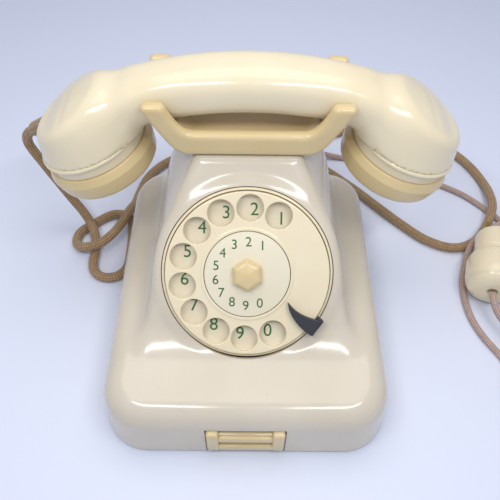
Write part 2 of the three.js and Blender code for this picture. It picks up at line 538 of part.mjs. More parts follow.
// The braided handset cord drops to the table, runs along the left side, folds out into one
// small loop, passes behind the housing, swings out on the right and returns to the rear wall.
const HANDSET_CORD = [
  reliefEnd.toArray(), reliefEnd.clone().addScaledVector(RELIEF_WAY, 4).toArray(),
  [-143.2, 83.8, 74.6], [-144.2, 84, 68.6], [-142.2, 83.2, 62], [-138.5, 81.7, 54],
  [-133, 79.5, 42], [-125, 76, 26], [-118, 71.6, 16.2], [-112.6, 65.6, 9.8], [-109, 57.5, 5],
  [-107.2, 47, 3.3], [-107, 35.2, 3.3], [-105.4, 29.1, 3.3], [-100.9, 24.5, 3.3],
  [-94.7, 22.9, 3.3], [-88.5, 24.5, 3.3], [-84, 29, 3.3], [-82.4, 35.2, 3.3], [-82.4, 46, 3.3],
  [-82.9, 57, 3.3], [-84.2, 68.5, 3.3], [-85.4, 73.9, 3.3], [-88.9, 78.2, 3.3],
  [-93.9, 80.5, 3.3], [-99.5, 80.4, 3.3], [-104.4, 77.9, 3.3], [-111.2, 72.2, 3.3],
  [-118, 66.4, 3.3], [-121.3, 62, 3.3], [-122.4, 56.6, 3.3], [-121, 51.2, 4.2], [-117.3, 47, 6.4],
  [-112.2, 44.9, 9], [-106.7, 45.2, 10.3], [-101.4, 48.3, 10.6], [-96.5, 54, 10.6],
  [-92, 62, 10.6], [-89, 70, 10.6], [-86.5, 79, 10],
  [-84.5, 90, 5.6], [-83, 103, 3.6], [-79, 119, 3.3],
  [-68, 135, 3.3], [-45, 149, 3.3], [-15, 154, 3.3], [20, 150.5, 3.3], [52, 137, 3.3],
  [79.1, 112, 3.3], [97, 91.5, 3.3], [112, 74.5, 3.3], [129, 58.5, 3.3], [146, 52, 3.3],
  [161, 56.5, 3.3], [173.5, 70, 4.8], [181.5, 86, 8.3], [184.5, 102, 6.2], [184, 118, 3.5],
  [178, 136, 3.3], [166, 154, 3.3], [146, 170, 3.3], [118, 179, 3.3], [86, 178, 3.3],
  [55, 168, 4.3], [31, 158.5, 8.4], [14, 150, 10.6], [4, 145.4, 9.8], [-6, 140.6, 9.8], [-14, 134.6, 10.8], [-19.2, 128.6, 12.5],
  [-21.5, 123, 13.8],
  [-GLAND_X, GLAND_END + 3, GLAND_Z], [-GLAND_X, GLAND_END, GLAND_Z],
];
// The thinner line cord leaves on the right, makes a loop beyond the plug, runs along the
// plug's side and keeps its spare length in the coil in front of it.
const LINE_CORD_RUN = [
  [GLAND_X, GLAND_END, GLAND_Z], [GLAND_X, GLAND_END + 3, GLAND_Z], [22.3, 123, 13.7], [24.4, 128.6, 12.2], [28.6, 134, 10.4], [35.6, 139.4, 9.7], [46, 144, 9.8],
  [58, 146.6, 6], [72, 146.4, 2.4], [95, 141.5, 2.2],
  [122, 131, 2.2], [148, 117, 2.2], [166, 105, 2.2], [181, 88.5, 2.2],
  [191.5, 74, 2.2], [198, 68.6, 2.2], [203.5, 64.6, 2.2], [207.9, 62.7, 2.2], [212.6, 63.2, 2.2],
  [216.5, 65.9, 2.2], [218.6, 70.1, 2.2], [218.4, 74.9, 2.3], [215.9, 78.9, 2.6],
  [211.8, 81.3, 3.1], [206.9, 81.3, 3.9], [200, 79.5, 5.4], [192, 76.2, 7], [183.5, 71, 8],
  [175, 65, 9.6],
  [165, 58.5, 9.6], [157, 50, 7.6],
  [151.8, 38, 2.8], [147, 24, 2.2], [145.2, 9, 2.2], [146.3, -6, 2.2], [150.5, -19, 2.2],
  [157, -31, 2.2], [161.2, -39.4, 2.2],
];
const LINE_CORD_TAIL = [
  [170.3, -23.6, 14], [164.6, -19.2, 12.8], [160.4, -12.8, 12.7], [157.8, -6.4, 14.3],
  [156.8, -0.6, 16.7], [156.8, 3.4, 17.6],
];
piece('handset_cord', cordTube(HANDSET_CORD, HANDSET_CORD_RADIUS, 62, 8), BRAID_BROWN);
piece('line_cord_run', cordTube(LINE_CORD_RUN, LINE_CORD_RADIUS, 40, 8), BRAID_PINK);
piece('line_cord_tail', cordTube(LINE_CORD_TAIL, LINE_CORD_RADIUS, 8, 8), BRAID_PINK);
piece('line_cord_coil', washer(COIL_MEAN_RADIUS - COIL_HALF_BAND,
  COIL_MEAN_RADIUS + COIL_HALF_BAND, 0.1, COIL_HEIGHT, 28)
  .translate(COIL_CENTRE.x, COIL_CENTRE.y, 0), BRAID_PINK);

const plug = new THREE.Group();
plug.position.copy(PLUG_FACE);
plug.rotation.z = PLUG_TURN;
telephone.add(plug);
piece('plug_cap', shapeOf(cut(solid(alongY(turned([[0, 0], [8, 0], [14.5, 2.4], [17.4, 8], [17.4, 24],
  [15.2, 27.4], [0, 27.4]], 32))), alongY(rod(3.4, -2, 9, 14)),
rod(2, 14.6, 20, 10).translate(0, 16, 0))), IVORY_HANDSET, plug);
piece('plug_base', alongY(turned([[0, 27.7], [13.4, 27.7], [13.4, 46], [12.2, 48], [0, 48]], 28)),
  IVORY_HANDSET, plug);
for (const [side, x] of [['left', -6], ['right', 6]]) {
  piece(`plug_pin_${side}`, alongY(turned([[0, 48.3], [2, 48.3], [2, 60], [1.2, 61], [0, 61]], 12))
    .translate(x, 0, 0), BRASS, plug);
}
piece('plug_screw', turned([[0, 15], [1.7, 15], [1.7, 17], [0, 17]], 10).translate(0, 16, 0),
  STEEL, plug);

export default telephone;
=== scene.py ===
# Rotary desk telephone in ivory plastic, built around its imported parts. Lengths are in millimetres in the
# parts' own frame, and MM turns them to metres.
import json
import math

import bmesh
import bpy
import numpy as np
from mathutils import Matrix, Vector


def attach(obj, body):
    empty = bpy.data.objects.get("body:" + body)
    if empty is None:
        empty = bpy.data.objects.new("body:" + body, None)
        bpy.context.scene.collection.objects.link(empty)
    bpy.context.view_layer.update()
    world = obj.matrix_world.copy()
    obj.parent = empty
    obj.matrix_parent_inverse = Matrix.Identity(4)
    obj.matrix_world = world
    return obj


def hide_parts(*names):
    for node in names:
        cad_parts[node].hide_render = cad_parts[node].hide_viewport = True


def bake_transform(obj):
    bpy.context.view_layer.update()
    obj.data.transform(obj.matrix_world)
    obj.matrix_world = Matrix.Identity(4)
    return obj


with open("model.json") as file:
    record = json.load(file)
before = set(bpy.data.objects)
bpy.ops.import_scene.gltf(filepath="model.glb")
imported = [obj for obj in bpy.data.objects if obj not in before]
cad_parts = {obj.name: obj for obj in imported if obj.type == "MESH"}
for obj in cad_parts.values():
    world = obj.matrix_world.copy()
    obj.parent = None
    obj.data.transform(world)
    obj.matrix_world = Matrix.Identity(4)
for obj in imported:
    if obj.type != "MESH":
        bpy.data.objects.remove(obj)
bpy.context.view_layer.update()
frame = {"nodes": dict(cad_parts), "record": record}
scene = bpy.context.scene
MM = 0.001
TO_METRES = Matrix.Scale(MM, 4)

# ---------------------------------------------------------------- camera
CAMERA_PLACE = (0.46, -196.05, 314.68)
CAMERA_LENS = 40.23
CAMERA_PITCH = math.radians(51.91)
CAMERA_YAW = math.radians(0.28)
CAMERA_ROLL = math.radians(0.8)


def add_camera():
    forward = Vector((math.sin(CAMERA_YAW) * math.cos(CAMERA_PITCH),
                      math.cos(CAMERA_YAW) * math.cos(CAMERA_PITCH), -math.sin(CAMERA_PITCH)))
    level = Vector((math.cos(CAMERA_YAW), -math.sin(CAMERA_YAW), 0))
    upright = level.cross(forward)
    right = math.cos(CAMERA_ROLL) * level + math.sin(CAMERA_ROLL) * upright
    up = -math.sin(CAMERA_ROLL) * level + math.cos(CAMERA_ROLL) * upright
    data = bpy.data.cameras.new("camera")
    data.lens = CAMERA_LENS
    data.sensor_width = 36
    data.clip_start = 0.01
    camera = bpy.data.objects.new("camera", data)
    camera.matrix_world = Matrix.Translation(Vector(CAMERA_PLACE) * MM) @ Matrix(
        (right, up, -forward)).transposed().to_4x4()
    scene.collection.objects.link(camera)
    scene.camera = camera


add_camera()


# ---------------------------------------------------------------- materials
def colour(code):
    """An sRGB hex value as linear red, green, blue and alpha."""
    parts = [int(code[i:i + 2], 16) / 255 for i in (1, 3, 5)]
    return [c / 12.92 if c <= 0.04045 else ((c + 0.055) / 1.055) ** 2.4 for c in parts] + [1]


def add_node(material, kind, inputs=None, **settings):
    """A node with its settings; an input is a value, or an output socket to link from."""
    tree = material.node_tree
    node = tree.nodes.new(kind)
    for name, value in settings.items():
        setattr(node, name, value)
    for name, value in (inputs or {}).items():
        if isinstance(value, bpy.types.NodeSocket):
            tree.links.new(value, node.inputs[name])
        else:
            node.inputs[name].default_value = value
    return node


def new_material(name):
    material = bpy.data.materials.new(name)
    material.use_nodes = True
    material.node_tree.nodes.clear()
    return material


def close(material, inputs, bump=None, bump_height=0.0):
    """Ends a material with its shader, and a bump of that height in metres if one is given."""
    if bump is not None:
        inputs["Normal"] = add_node(material, "ShaderNodeBump", {"Height": bump, "Strength": 1.0,
                                    "Distance": bump_height}).outputs["Normal"]
    shader = add_node(material, "ShaderNodeBsdfPrincipled", inputs)
    add_node(material, "ShaderNodeOutputMaterial", {"Surface": shader.outputs["BSDF"]})
    return material


def two_tones(material, factor, first, second, low=0.0, high=1.0):
    """A colour that runs from first to second as the factor runs from low to high."""
    ramp = add_node(material, "ShaderNodeValToRGB", {"Fac": factor})
    ramp.color_ramp.elements[0].position = low
    ramp.color_ramp.elements[1].position = high
    ramp.color_ramp.elements[0].color = colour(first)
    ramp.color_ramp.elements[1].color = colour(second)
    return ramp.outputs["Color"]


def per_metre(millimetres):
    return 1000 / millimetres


def moulded_ivory(name, pale, deep, roughness, wear=0.05):
    """Thermoset ivory, compression moulded and polished: a deep gloss over a slightly cloudy body, a few dark
    grains of dust in the moulding powder, and fine handling marks that break the gloss."""
    material = new_material(name)
    place = add_node(material, "ShaderNodeTexCoord").outputs["Object"]
    clouds = add_node(material, "ShaderNodeTexNoise", {"Vector": place, "Scale": per_metre(34), "Detail": 4})
    grains = add_node(material, "ShaderNodeTexVoronoi", {"Vector": place, "Scale": per_metre(17)})
    body = two_tones(material, clouds.outputs["Fac"], deep, pale, 0.25, 0.75)
    dots = two_tones(material, grains.outputs["Distance"], "#8f7e64", "#ffffff", 0.01, 0.016)
    mixed = add_node(material, "ShaderNodeMix", {0: 1.0, 6: body, 7: dots}, data_type="RGBA",
                     blend_type="MULTIPLY")
    rub = add_node(material, "ShaderNodeTexNoise", {"Vector": place, "Scale": per_metre(6), "Detail": 6})
    gloss = add_node(material, "ShaderNodeMapRange", {"Value": rub.outputs["Fac"], "From Min": 0.3,
                     "From Max": 0.7, "To Min": roughness, "To Max": roughness + wear})
    return close(material, {"Base Color": mixed.outputs[2], "Roughness": gloss.outputs["Result"], "IOR": 1.55,
                 "Subsurface Weight": 0.12, "Subsurface Scale": 0.002})


def plain_plastic(name, tone, roughness):
    """Thermoplastic, injection moulded with a fine even texture of about 0.6 mm."""
    material = new_material(name)
    place = add_node(material, "ShaderNodeTexCoord").outputs["Object"]
    grain = add_node(material, "ShaderNodeTexNoise", {"Vector": place, "Scale": per_metre(0.6), "Detail": 2})
    gloss = add_node(material, "ShaderNodeMapRange", {"Value": grain.outputs["Fac"], "To Min": roughness,
                     "To Max": roughness + 0.12})
    return close(material, {"Base Color": colour(tone), "Roughness": gloss.outputs["Result"], "IOR": 1.5},
                 grain.outputs["Fac"], 0.00003)


def worked_metal(name, bright, dull, roughness, metallic=1.0):
    """Plated or turned metal with soft blotches where the plating has dulled."""
    material = new_material(name)
    place = add_node(material, "ShaderNodeTexCoord").outputs["Object"]
    blotch = add_node(material, "ShaderNodeTexNoise", {"Vector": place, "Scale": per_metre(9), "Detail": 5})
    tone = two_tones(material, blotch.outputs["Fac"], dull, bright, 0.3, 0.7)
    gloss = add_node(material, "ShaderNodeMapRange", {"Value": blotch.outputs["Fac"],
                     "To Min": roughness + 0.15, "To Max": roughness})
    return close(material, {"Base Color": tone, "Metallic": metallic, "Roughness": gloss.outputs["Result"]})


def braided_cotton(name, light, dark, pitch, width_count):
    """Cotton braid over rubber: two families of threads cross at about 45 degrees, each thread rounded, with
    painted shade darkening the hollows between neighbouring threads. The UV map's V runs along the cord in
    metres and U once round it."""
    material = new_material(name)
    flat = add_node(material, "ShaderNodeUVMap", uv_map="braid").outputs["UV"]
    split = add_node(material, "ShaderNodeSeparateXYZ", {"Vector": flat})
    around = add_node(material, "ShaderNodeMath", {0: split.outputs["X"], 1: math.tau * width_count},
                      operation="MULTIPLY").outputs[0]
    along = add_node(material, "ShaderNodeMath", {0: split.outputs["Y"], 1: math.tau * per_metre(pitch)},
                     operation="MULTIPLY").outputs[0]
    waves = []
    for lean in ("ADD", "SUBTRACT"):
        phase = add_node(material, "ShaderNodeMath", {0: around, 1: along}, operation=lean).outputs[0]
        waves.append(add_node(material, "ShaderNodeMath", {0: phase}, operation="SINE").outputs[0])
    weave = add_node(material, "ShaderNodeMath", {0: waves[0], 1: waves[1]}, operation="MULTIPLY").outputs[0]
    height = add_node(material, "ShaderNodeMapRange", {"Value": weave, "From Min": -1.0, "From Max": 1.0})
    place = add_node(material, "ShaderNodeTexCoord").outputs["Object"]
    fuzz = add_node(material, "ShaderNodeTexNoise", {"Vector": place, "Scale": per_metre(2.5), "Detail": 6})
    mixed = add_node(material, "ShaderNodeMath", {0: height.outputs["Result"], 1: fuzz.outputs["Fac"]},
                     operation="MULTIPLY").outputs[0]
    # painted shade: the braid's colour runs dark where the weave is low, between the threads; the noise adds
    # random tone to the cotton
    tone = two_tones(material, mixed, dark, light, 0.05, 0.55)
    return close(material, {"Base Color": tone, "Roughness": 0.85, "Sheen Weight": 0.25}, mixed, 0.0004)


def flecked(name, ground, fleck, size, roughness, metallic=0.0):
    """A matt body with flecks of that size in millimetres, such as laminate, rubber or a varnished winding."""
    material = new_material(name)
    place = add_node(material, "ShaderNodeTexCoord").outputs["Object"]
    grain = add_node(material, "ShaderNodeTexNoise", {"Vector": place, "Scale": per_metre(size), "Detail": 3})
    tone = two_tones(material, grain.outputs["Fac"], ground, fleck, 0.35, 0.7)
    return close(material, {"Base Color": tone, "Roughness": roughness, "Metallic": metallic})


def printed_green(name):
    """Green enamel filled into the figures, slightly uneven where it has worn."""
    material = new_material(name)
    place = add_node(material, "ShaderNodeTexCoord").outputs["Object"]
    wear = add_node(material, "ShaderNodeTexNoise", {"Vector": place, "Scale": per_metre(3), "Detail": 3})
    tone = two_tones(material, wear.outputs["Fac"], "#2f5f2c", "#44743a", 0.3, 0.7)
    return close(material, {"Base Color": tone, "Roughness": 0.35})


housing_ivory = moulded_ivory("moulded_housing_ivory", "#d8cebc", "#d0c6b2", 0.13)
handset_ivory = moulded_ivory("moulded_handset_ivory", "#eee1c2", "#e8dab8", 0.14)
warm_ivory = moulded_ivory("moulded_warm_ivory", "#e0cb9c", "#d8c18e", 0.2)
card_ivory = moulded_ivory("satin_card_ivory", "#ece2ca", "#e6dabd", 0.3)
figure_green = printed_green("green_enamel_figures")
stop_plastic = plain_plastic("charcoal_stop_plastic", "#35363c", 0.35)
gland_rubber = flecked("moulded_gland_rubber", "#262423", "#34302d", 1.5, 0.7)
brown_braid = braided_cotton("brown_cotton_braid", "#b89a74", "#866a4a", 3.4, 5)
rose_braid = braided_cotton("rose_cotton_braid", "#cdb3a8", "#9c8276", 2.6, 4)
zinc = worked_metal("zinc_plated_steel", "#b9bcbe", "#8f9396", 0.3)
lacquered = worked_metal("lacquered_steel", "#5c5f61", "#494b4d", 0.45, 0.7)
turned_brass = worked_metal("turned_brass", "#c8a860", "#a08243", 0.28)
laminate = flecked("phenolic_laminate", "#402818", "#5a3b26", 3, 0.45)
winding = flecked("varnished_copper_winding", "#86461f", "#b06c3c", 0.8, 0.4, 0.5)


# ---------------------------------------------------------------- ways of making
def finished(name, bm, material, body, replaces=(), place=None, sharp=32):
    """Turns a bmesh in millimetres into a shown piece that rides on its body and stands for its CAD nodes."""
    if place is not None:
        bmesh.ops.transform(bm, matrix=place, verts=bm.verts)
    bmesh.ops.transform(bm, matrix=TO_METRES, verts=bm.verts)
    bmesh.ops.recalc_face_normals(bm, faces=bm.faces)
    mesh = bpy.data.meshes.new(name)
    bm.to_mesh(mesh)
    bm.free()
    mesh.materials.append(material)
    piece = bpy.data.objects.new(name, mesh)
    scene.collection.objects.link(piece)
    shade(piece, sharp)
    if body:
        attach(piece, body)
    if replaces:
        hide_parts(*replaces)
    return piece


def shade(piece, sharp):
    piece.data.shade_smooth()
    piece.data.set_sharp_from_angle(angle=math.radians(sharp))


def settle_modifiers(piece):
    """Applies a piece's modifiers to its mesh."""
    mesh = bpy.data.meshes.new_from_object(piece.evaluated_get(bpy.context.evaluated_depsgraph_get()))
    piece.modifiers.clear()
    piece.data = mesh


def even_shading(piece):
    """Keeps flat faces flat in the light beside their rounded edges."""
    weights = piece.modifiers.new("weights", "WEIGHTED_NORMAL")
    weights.keep_sharp = True
    return piece


def softened(corners, bits=5):
    """A profile whose corners may carry a third number: how far before and after it the corner is rounded."""
    points = []
    for i, corner in enumerate(corners):
        here = Vector(corner[:2])
        if len(corner) == 2 or i in (0, len(corners) - 1):
            points.append(here)
            continue
        before = here + (Vector(corners[i - 1][:2]) - here).normalized() * corner[2]
        after = here + (Vector(corners[i + 1][:2]) - here).normalized() * corner[2]
        for k in range(bits + 1):
            t = k / bits
            points.append(before * (1 - t) ** 2 + here * 2 * t * (1 - t) + after * t ** 2)
    return points


def turned(corners, steps=72, bits=5):
    """A piece turned about Z from a profile of radius and height."""
    bm = bmesh.new()
    verts = [bm.verts.new((p[0], 0, p[1])) for p in softened(corners, bits)]
    edges = [bm.edges.new(pair) for pair in zip(verts, verts[1:])]
    bmesh.ops.spin(bm, geom=verts + edges, axis=(0, 0, 1), cent=(0, 0, 0), steps=steps, angle=math.tau,
                   use_merge=True)
    bmesh.ops.remove_doubles(bm, verts=bm.verts, dist=0.0005)
    bmesh.ops.recalc_face_normals(bm, faces=bm.faces)
    return bm


def drum(radius, low, high, steps=48):
    return turned([(0, low), (radius, low), (radius, high), (0, high)], steps)


def brick(low, high, edge=0.0, segments=3):
    """A box between two corners with rounded edges."""
    bm = bmesh.new()
    bmesh.ops.create_cube(bm, size=1)
    size = [b - a for a, b in zip(low, high)]
    middle = [(a + b) / 2 for a, b in zip(low, high)]
    bmesh.ops.scale(bm, vec=size, verts=bm.verts)
    bmesh.ops.translate(bm, vec=middle, verts=bm.verts)
    if edge:
        bmesh.ops.bevel(bm, geom=bm.edges, offset=edge, affect="EDGES", segments=segments, profile=0.5,
                        material=-1)
    return bm


def plate(outlines, low, high, edge):
    """A flat plate in XY from an outer outline and the outlines of its holes, all edges rounded outwards by
    edge, so the outlines are given that much inside the finished rim."""
    curve = bpy.data.curves.new("plate", "CURVE")
    curve.dimensions = "2D"
    curve.fill_mode = "BOTH"
    curve.extrude = (high - low) / 2 - edge
    curve.bevel_depth = edge
    curve.bevel_resolution = 3
    for outline in outlines:
        spline = curve.splines.new("POLY")
        spline.points.add(len(outline) - 1)
        for point, (x, y) in zip(spline.points, outline):
            point.co = (x, y, 0, 1)
        spline.use_cyclic_u = True
    return flat_mesh(curve, (low + high) / 2)


def flat_mesh(curve, height):
    """The mesh of a curve or text, lifted to that height."""
    holder = bpy.data.objects.new("flat", curve)
    scene.collection.objects.link(holder)
    mesh = bpy.data.meshes.new_from_object(holder.evaluated_get(bpy.context.evaluated_depsgraph_get()))
    bm = bmesh.new()
    bm.from_mesh(mesh)
    bpy.data.objects.remove(holder)
    bpy.data.meshes.remove(mesh)
    bmesh.ops.remove_doubles(bm, verts=bm.verts, dist=0.0005)
    bmesh.ops.translate(bm, vec=(0, 0, height), verts=bm.verts)
    return bm


def joined(*parts):
    """Several bmeshes as one."""
    whole = parts[0]
    for extra in parts[1:]:
        mesh = bpy.data.meshes.new("extra")
        extra.to_mesh(mesh)
        extra.free()
        whole.from_mesh(mesh)
        bpy.data.meshes.remove(mesh)
    return whole


def moved(bm, matrix):
    bmesh.ops.transform(bm, matrix=matrix, verts=bm.verts)
    return bm


def cut_away(piece, tool, operation="DIFFERENCE"):
    """Cuts a closed tool in millimetres out of a piece."""
    bmesh.ops.transform(tool, matrix=TO_METRES, verts=tool.verts)
    bmesh.ops.recalc_face_normals(tool, faces=tool.faces)
    mesh = bpy.data.meshes.new("tool")
    tool.to_mesh(mesh)
    tool.free()
    cutter = bpy.data.objects.new("tool", mesh)
    scene.collection.objects.link(cutter)
    cut = piece.modifiers.new("cut", "BOOLEAN")
    cut.operation = operation
    cut.object = cutter
    cut.solver = "EXACT"
    settle_modifiers(piece)
    bpy.data.objects.remove(cutter)
    bpy.data.meshes.remove(mesh)


# ---------------------------------------------------------------- rounded forms
def round_meet(a, b, radius):
    """Where two forms overlap, with the edge between them rounded."""
    corner = np.hypot(np.maximum(a + radius, 0), np.maximum(b + radius, 0))
    return np.minimum(-radius, np.maximum(a, b)) + corner


def round_join(a, b, radius):
    """Two forms together, with a fillet in the corner between them."""
    corner = np.hypot(np.maximum(radius - a, 0), np.maximum(radius - b, 0))
    return np.maximum(radius, np.minimum(a, b)) - corner


def drawn_through(knots, values):
    """A smooth curve through the values at the knots, flat-ended, as a function."""
    knots, values = np.array(knots, float), np.array(values, float)
    slopes = np.gradient(values, knots)

    def at(x):
        x = np.clip(x, knots[0], knots[-1])
        i = np.clip(np.searchsorted(knots, x) - 1, 0, len(knots) - 2)
        width = knots[i + 1] - knots[i]
        t = (x - knots[i]) / width
        return ((2 * t ** 3 - 3 * t ** 2 + 1) * values[i] + (t ** 3 - 2 * t ** 2 + t) * width * slopes[i]
                + (3 * t ** 2 - 2 * t ** 3) * values[i + 1] + (t ** 3 - t ** 2) * width * slopes[i + 1])

    return at


def pulled_onto(points, form, reach):
    """Moves points along the form's slope until they lie on its surface."""
    step = 0.05
    for _ in range(3):
        value = form(*points.T)
        slope = np.stack([(form(*(points + step * axis).T) - form(*(points - step * axis).T)) / (2 * step)
                          for axis in np.eye(3)], 1)
        size = np.maximum((slope ** 2).sum(1), 0.05)
        points = points - slope * np.clip(value / size, -reach, reach)[:, None]
    return points


def skinned(rough, form, voxel, rounds=6, open_below=None):
    """A smooth skin: rough closed shells are remeshed as one, then every point is eased among its
    neighbours and pulled onto the exact form."""
    mesh = bpy.data.meshes.new("rough")
    rough.to_mesh(mesh)
    rough.free()
    holder = bpy.data.objects.new("rough", mesh)
    scene.collection.objects.link(holder)
    remesh = holder.modifiers.new("remesh", "REMESH")
    remesh.mode = "VOXEL"
    remesh.voxel_size = voxel
    even = bpy.data.meshes.new_from_object(holder.evaluated_get(bpy.context.evaluated_depsgraph_get()))
    bm = bmesh.new()
    bm.from_mesh(even)
    bpy.data.objects.remove(holder)
    bpy.data.meshes.remove(mesh)
    bpy.data.meshes.remove(even)
    if open_below is not None:
        bmesh.ops.bisect_plane(bm, geom=bm.verts[:] + bm.edges[:] + bm.faces[:], plane_co=(0, 0, open_below),
                               plane_no=(0, 0, 1), clear_inner=True)
    bm.verts.index_update()
    points = np.array([v.co for v in bm.verts])
    edges = np.array([[v.index for v in e.verts] for e in bm.edges])
    degree = np.bincount(edges.ravel(), minlength=len(points))[:, None]
    points = pulled_onto(points, form, voxel * 3)
    for _ in range(rounds):
        total = np.zeros_like(points)
        np.add.at(total, edges[:, 0], points[edges[:, 1]])
        np.add.at(total, edges[:, 1], points[edges[:, 0]])
        points = pulled_onto(0.4 * points + 0.6 * total / degree, form, voxel * 2)
    for vert, point in zip(bm.verts, points):
        vert.co = point
    return bm


def hull(points):
    """The tight convex shell round some points."""
    bm = bmesh.new()
    for point in points:
        bm.verts.new(point)
    made = bmesh.ops.convex_hull(bm, input=bm.verts)
    bmesh.ops.delete(bm, geom=[g for g in made["geom_interior"] if isinstance(g, bmesh.types.BMVert)],
                     context="VERTS")
    return bm


# ---------------------------------------------------------------- cords
def eased_line(points, spacing):
    """Evenly spaced points along a centripetal curve through the given ones."""
    p = np.array(points, float)
    p = np.vstack([2 * p[0] - p[1], p, 2 * p[-1] - p[-2]])
    line = []
    for i in range(1, len(p) - 2):
        a, b, c = (math.sqrt(np.linalg.norm(p[i + k] - p[i + k - 1])) for k in range(3))
        before = b * ((p[i] - p[i - 1]) / a - (p[i + 1] - p[i - 1]) / (a + b) + (p[i + 1] - p[i]) / b)
        after = b * ((p[i + 1] - p[i]) / b - (p[i + 2] - p[i]) / (b + c) + (p[i + 2] - p[i + 1]) / c)
        t = np.arange(24)[:, None] / 24
        line.append(p[i] + before * t + (3 * (p[i + 1] - p[i]) - 2 * before - after) * t ** 2
                    + (2 * (p[i] - p[i + 1]) + before + after) * t ** 3)
    line = np.vstack(line + [p[-2]])
    run = np.concatenate([[0], np.cumsum(np.linalg.norm(np.diff(line, axis=0), axis=1))])
    marks = np.linspace(0, run[-1], max(2, round(run[-1] / spacing)))
    return np.stack([np.interp(marks, run, line[:, k]) for k in range(3)], 1), run[-1]


def cord_tube(name, line, radius_at, material, sides):
    """A round tube along a line, with a UV map that runs once round it and along it in metres."""
    bm = bmesh.new()
    uv = bm.loops.layers.uv.new("braid")
    heading = np.gradient(line, axis=0)
    heading /= np.linalg.norm(heading, axis=1)[:, None]
    side = np.cross(heading[0], (0.3, 0.2, 1))
    rings = []
    for i, (point, way) in enumerate(zip(line, heading)):
        side = side - way * side.dot(way)
        side = side / np.linalg.norm(side)
        up = np.cross(way, side)
        radius = radius_at(i / (len(line) - 1))
        rings.append([bm.verts.new(point + radius * (math.cos(turn) * side + math.sin(turn) * up))
                      for turn in (math.tau * k / sides for k in range(sides))])
    run = np.concatenate([[0], np.cumsum(np.linalg.norm(np.diff(line, axis=0), axis=1))]) * MM
    for i, (ring, following) in enumerate(zip(rings, rings[1:])):
        for k in range(sides):
            face = bm.faces.new((ring[k], ring[(k + 1) % sides], following[(k + 1) % sides], following[k]))
            spots = ((k, i), (k + 1, i), (k + 1, i + 1), (k, i + 1))
            for loop, (u, v) in zip(face.loops, spots):
                loop[uv].uv = (u / sides, run[v])
    bm.faces.new(reversed(rings[0]))
    bm.faces.new(rings[-1])
    return finished(name, bm, material, None, sharp=60)


HANDSET_Y = 48.7
GLAND_X = 22
GLAND_Z = 14
HOUSING_REAR = 93.6
GLAND_END = HOUSING_REAR + 22.3
RELIEF_START = Vector((-101.5, 68.6, 108.2))
RELIEF_WAY = Vector((-0.765, 0.281, -0.581)).normalized()
RELIEF_LENGTH = 46
RELIEF_END = RELIEF_START + RELIEF_WAY * (RELIEF_LENGTH + 0.3)
HANDSET_CORD_RADIUS = 3.2
LINE_CORD_RADIUS = 2.1

HANDSET_CORD = [
    tuple(RELIEF_END), tuple(RELIEF_END + RELIEF_WAY * 4),
    (-143.2, 83.8, 74.6), (-144.2, 84, 68.6), (-142.2, 83.2, 62), (-138.5, 81.7, 54),
    (-133, 79.5, 42), (-125, 76, 26), (-118, 71.6, 16.2), (-112.6, 65.6, 9.8), (-109, 57.5, 5),
    (-107.2, 47, 3.3), (-107, 35.2, 3.3), (-105.4, 29.1, 3.3), (-100.9, 24.5, 3.3), (-94.7, 22.9, 3.3),
    (-88.5, 24.5, 3.3), (-84, 29, 3.3), (-82.4, 35.2, 3.3), (-82.4, 46, 3.3), (-82.9, 57, 3.3),
    (-84.2, 68.5, 3.3), (-85.4, 73.9, 3.3), (-88.9, 78.2, 3.3), (-93.9, 80.5, 3.3), (-99.5, 80.4, 3.3),
    (-104.4, 77.9, 3.3), (-111.2, 72.2, 3.3), (-118, 66.4, 3.3), (-121.3, 62, 3.3), (-122.4, 56.6, 3.3),
    (-121, 51.2, 4.2), (-117.3, 47, 6.4), (-112.2, 44.9, 9), (-106.7, 45.2, 10.3), (-101.4, 48.3, 10.6),
    (-96.5, 54, 10.6), (-92, 62, 10.6), (-89, 70, 10.6), (-86.5, 79, 10),
    (-84.5, 90, 5.6), (-83, 103, 3.6), (-79, 119, 3.3),
    (-68, 135, 3.3), (-45, 149, 3.3), (-15, 154, 3.3), (20, 150.5, 3.3), (52, 137, 3.3),
    (79.1, 112, 3.3), (97, 91.5, 3.3), (112, 74.5, 3.3), (129, 58.5, 3.3), (146, 52, 3.3),
    (161, 56.5, 3.3), (173.5, 70, 4.8), (181.5, 86, 8.3), (184.5, 102, 6.2), (184, 118, 3.5),
    (178, 136, 3.3), (166, 154, 3.3), (146, 170, 3.3), (118, 179, 3.3), (86, 178, 3.3),
    (55, 168, 4.3), (31, 158.5, 8.4),
    (14, 150, 10.6), (4, 145.4, 9.8), (-6, 140.6, 9.8), (-14, 134.6, 10.8), (-19.2, 128.6, 12.5),
    (-21.5, 123, 13.8), (-GLAND_X, GLAND_END + 3, GLAND_Z), (-GLAND_X, GLAND_END, GLAND_Z),
]
LINE_CORD_RUN = [
    (GLAND_X, GLAND_END, GLAND_Z), (GLAND_X, GLAND_END + 3, GLAND_Z),
    (22.3, 123, 13.7), (24.4, 128.6, 12.2), (28.6, 134, 10.4), (35.6, 139.4, 9.7), (46, 144, 9.8),
    (58, 146.6, 6), (72, 146.4, 2.4), (95, 141.5, 2.2),
    (122, 131, 2.2), (148, 117, 2.2), (166, 105, 2.2), (181, 88.5, 2.2),
    (191.5, 74, 2.2), (198, 68.6, 2.2), (203.5, 64.6, 2.2), (207.9, 62.7, 2.2), (212.6, 63.2, 2.2),
    (216.5, 65.9, 2.2), (218.6, 70.1, 2.2), (218.4, 74.9, 2.3), (215.9, 78.9, 2.6), (211.8, 81.3, 3.1),
    (206.9, 81.3, 3.9), (200, 79.5, 5.4), (192, 76.2, 7), (183.5, 71, 8), (175, 65, 9.6),
    (165, 58.5, 9.6), (157, 50, 7.6),
    (151.8, 38, 2.8), (147, 24, 2.2), (145.2, 9, 2.2), (146.3, -6, 2.2), (150.5, -19, 2.2),
    (157, -31, 2.2), (161.2, -39.4, 2.2),
]
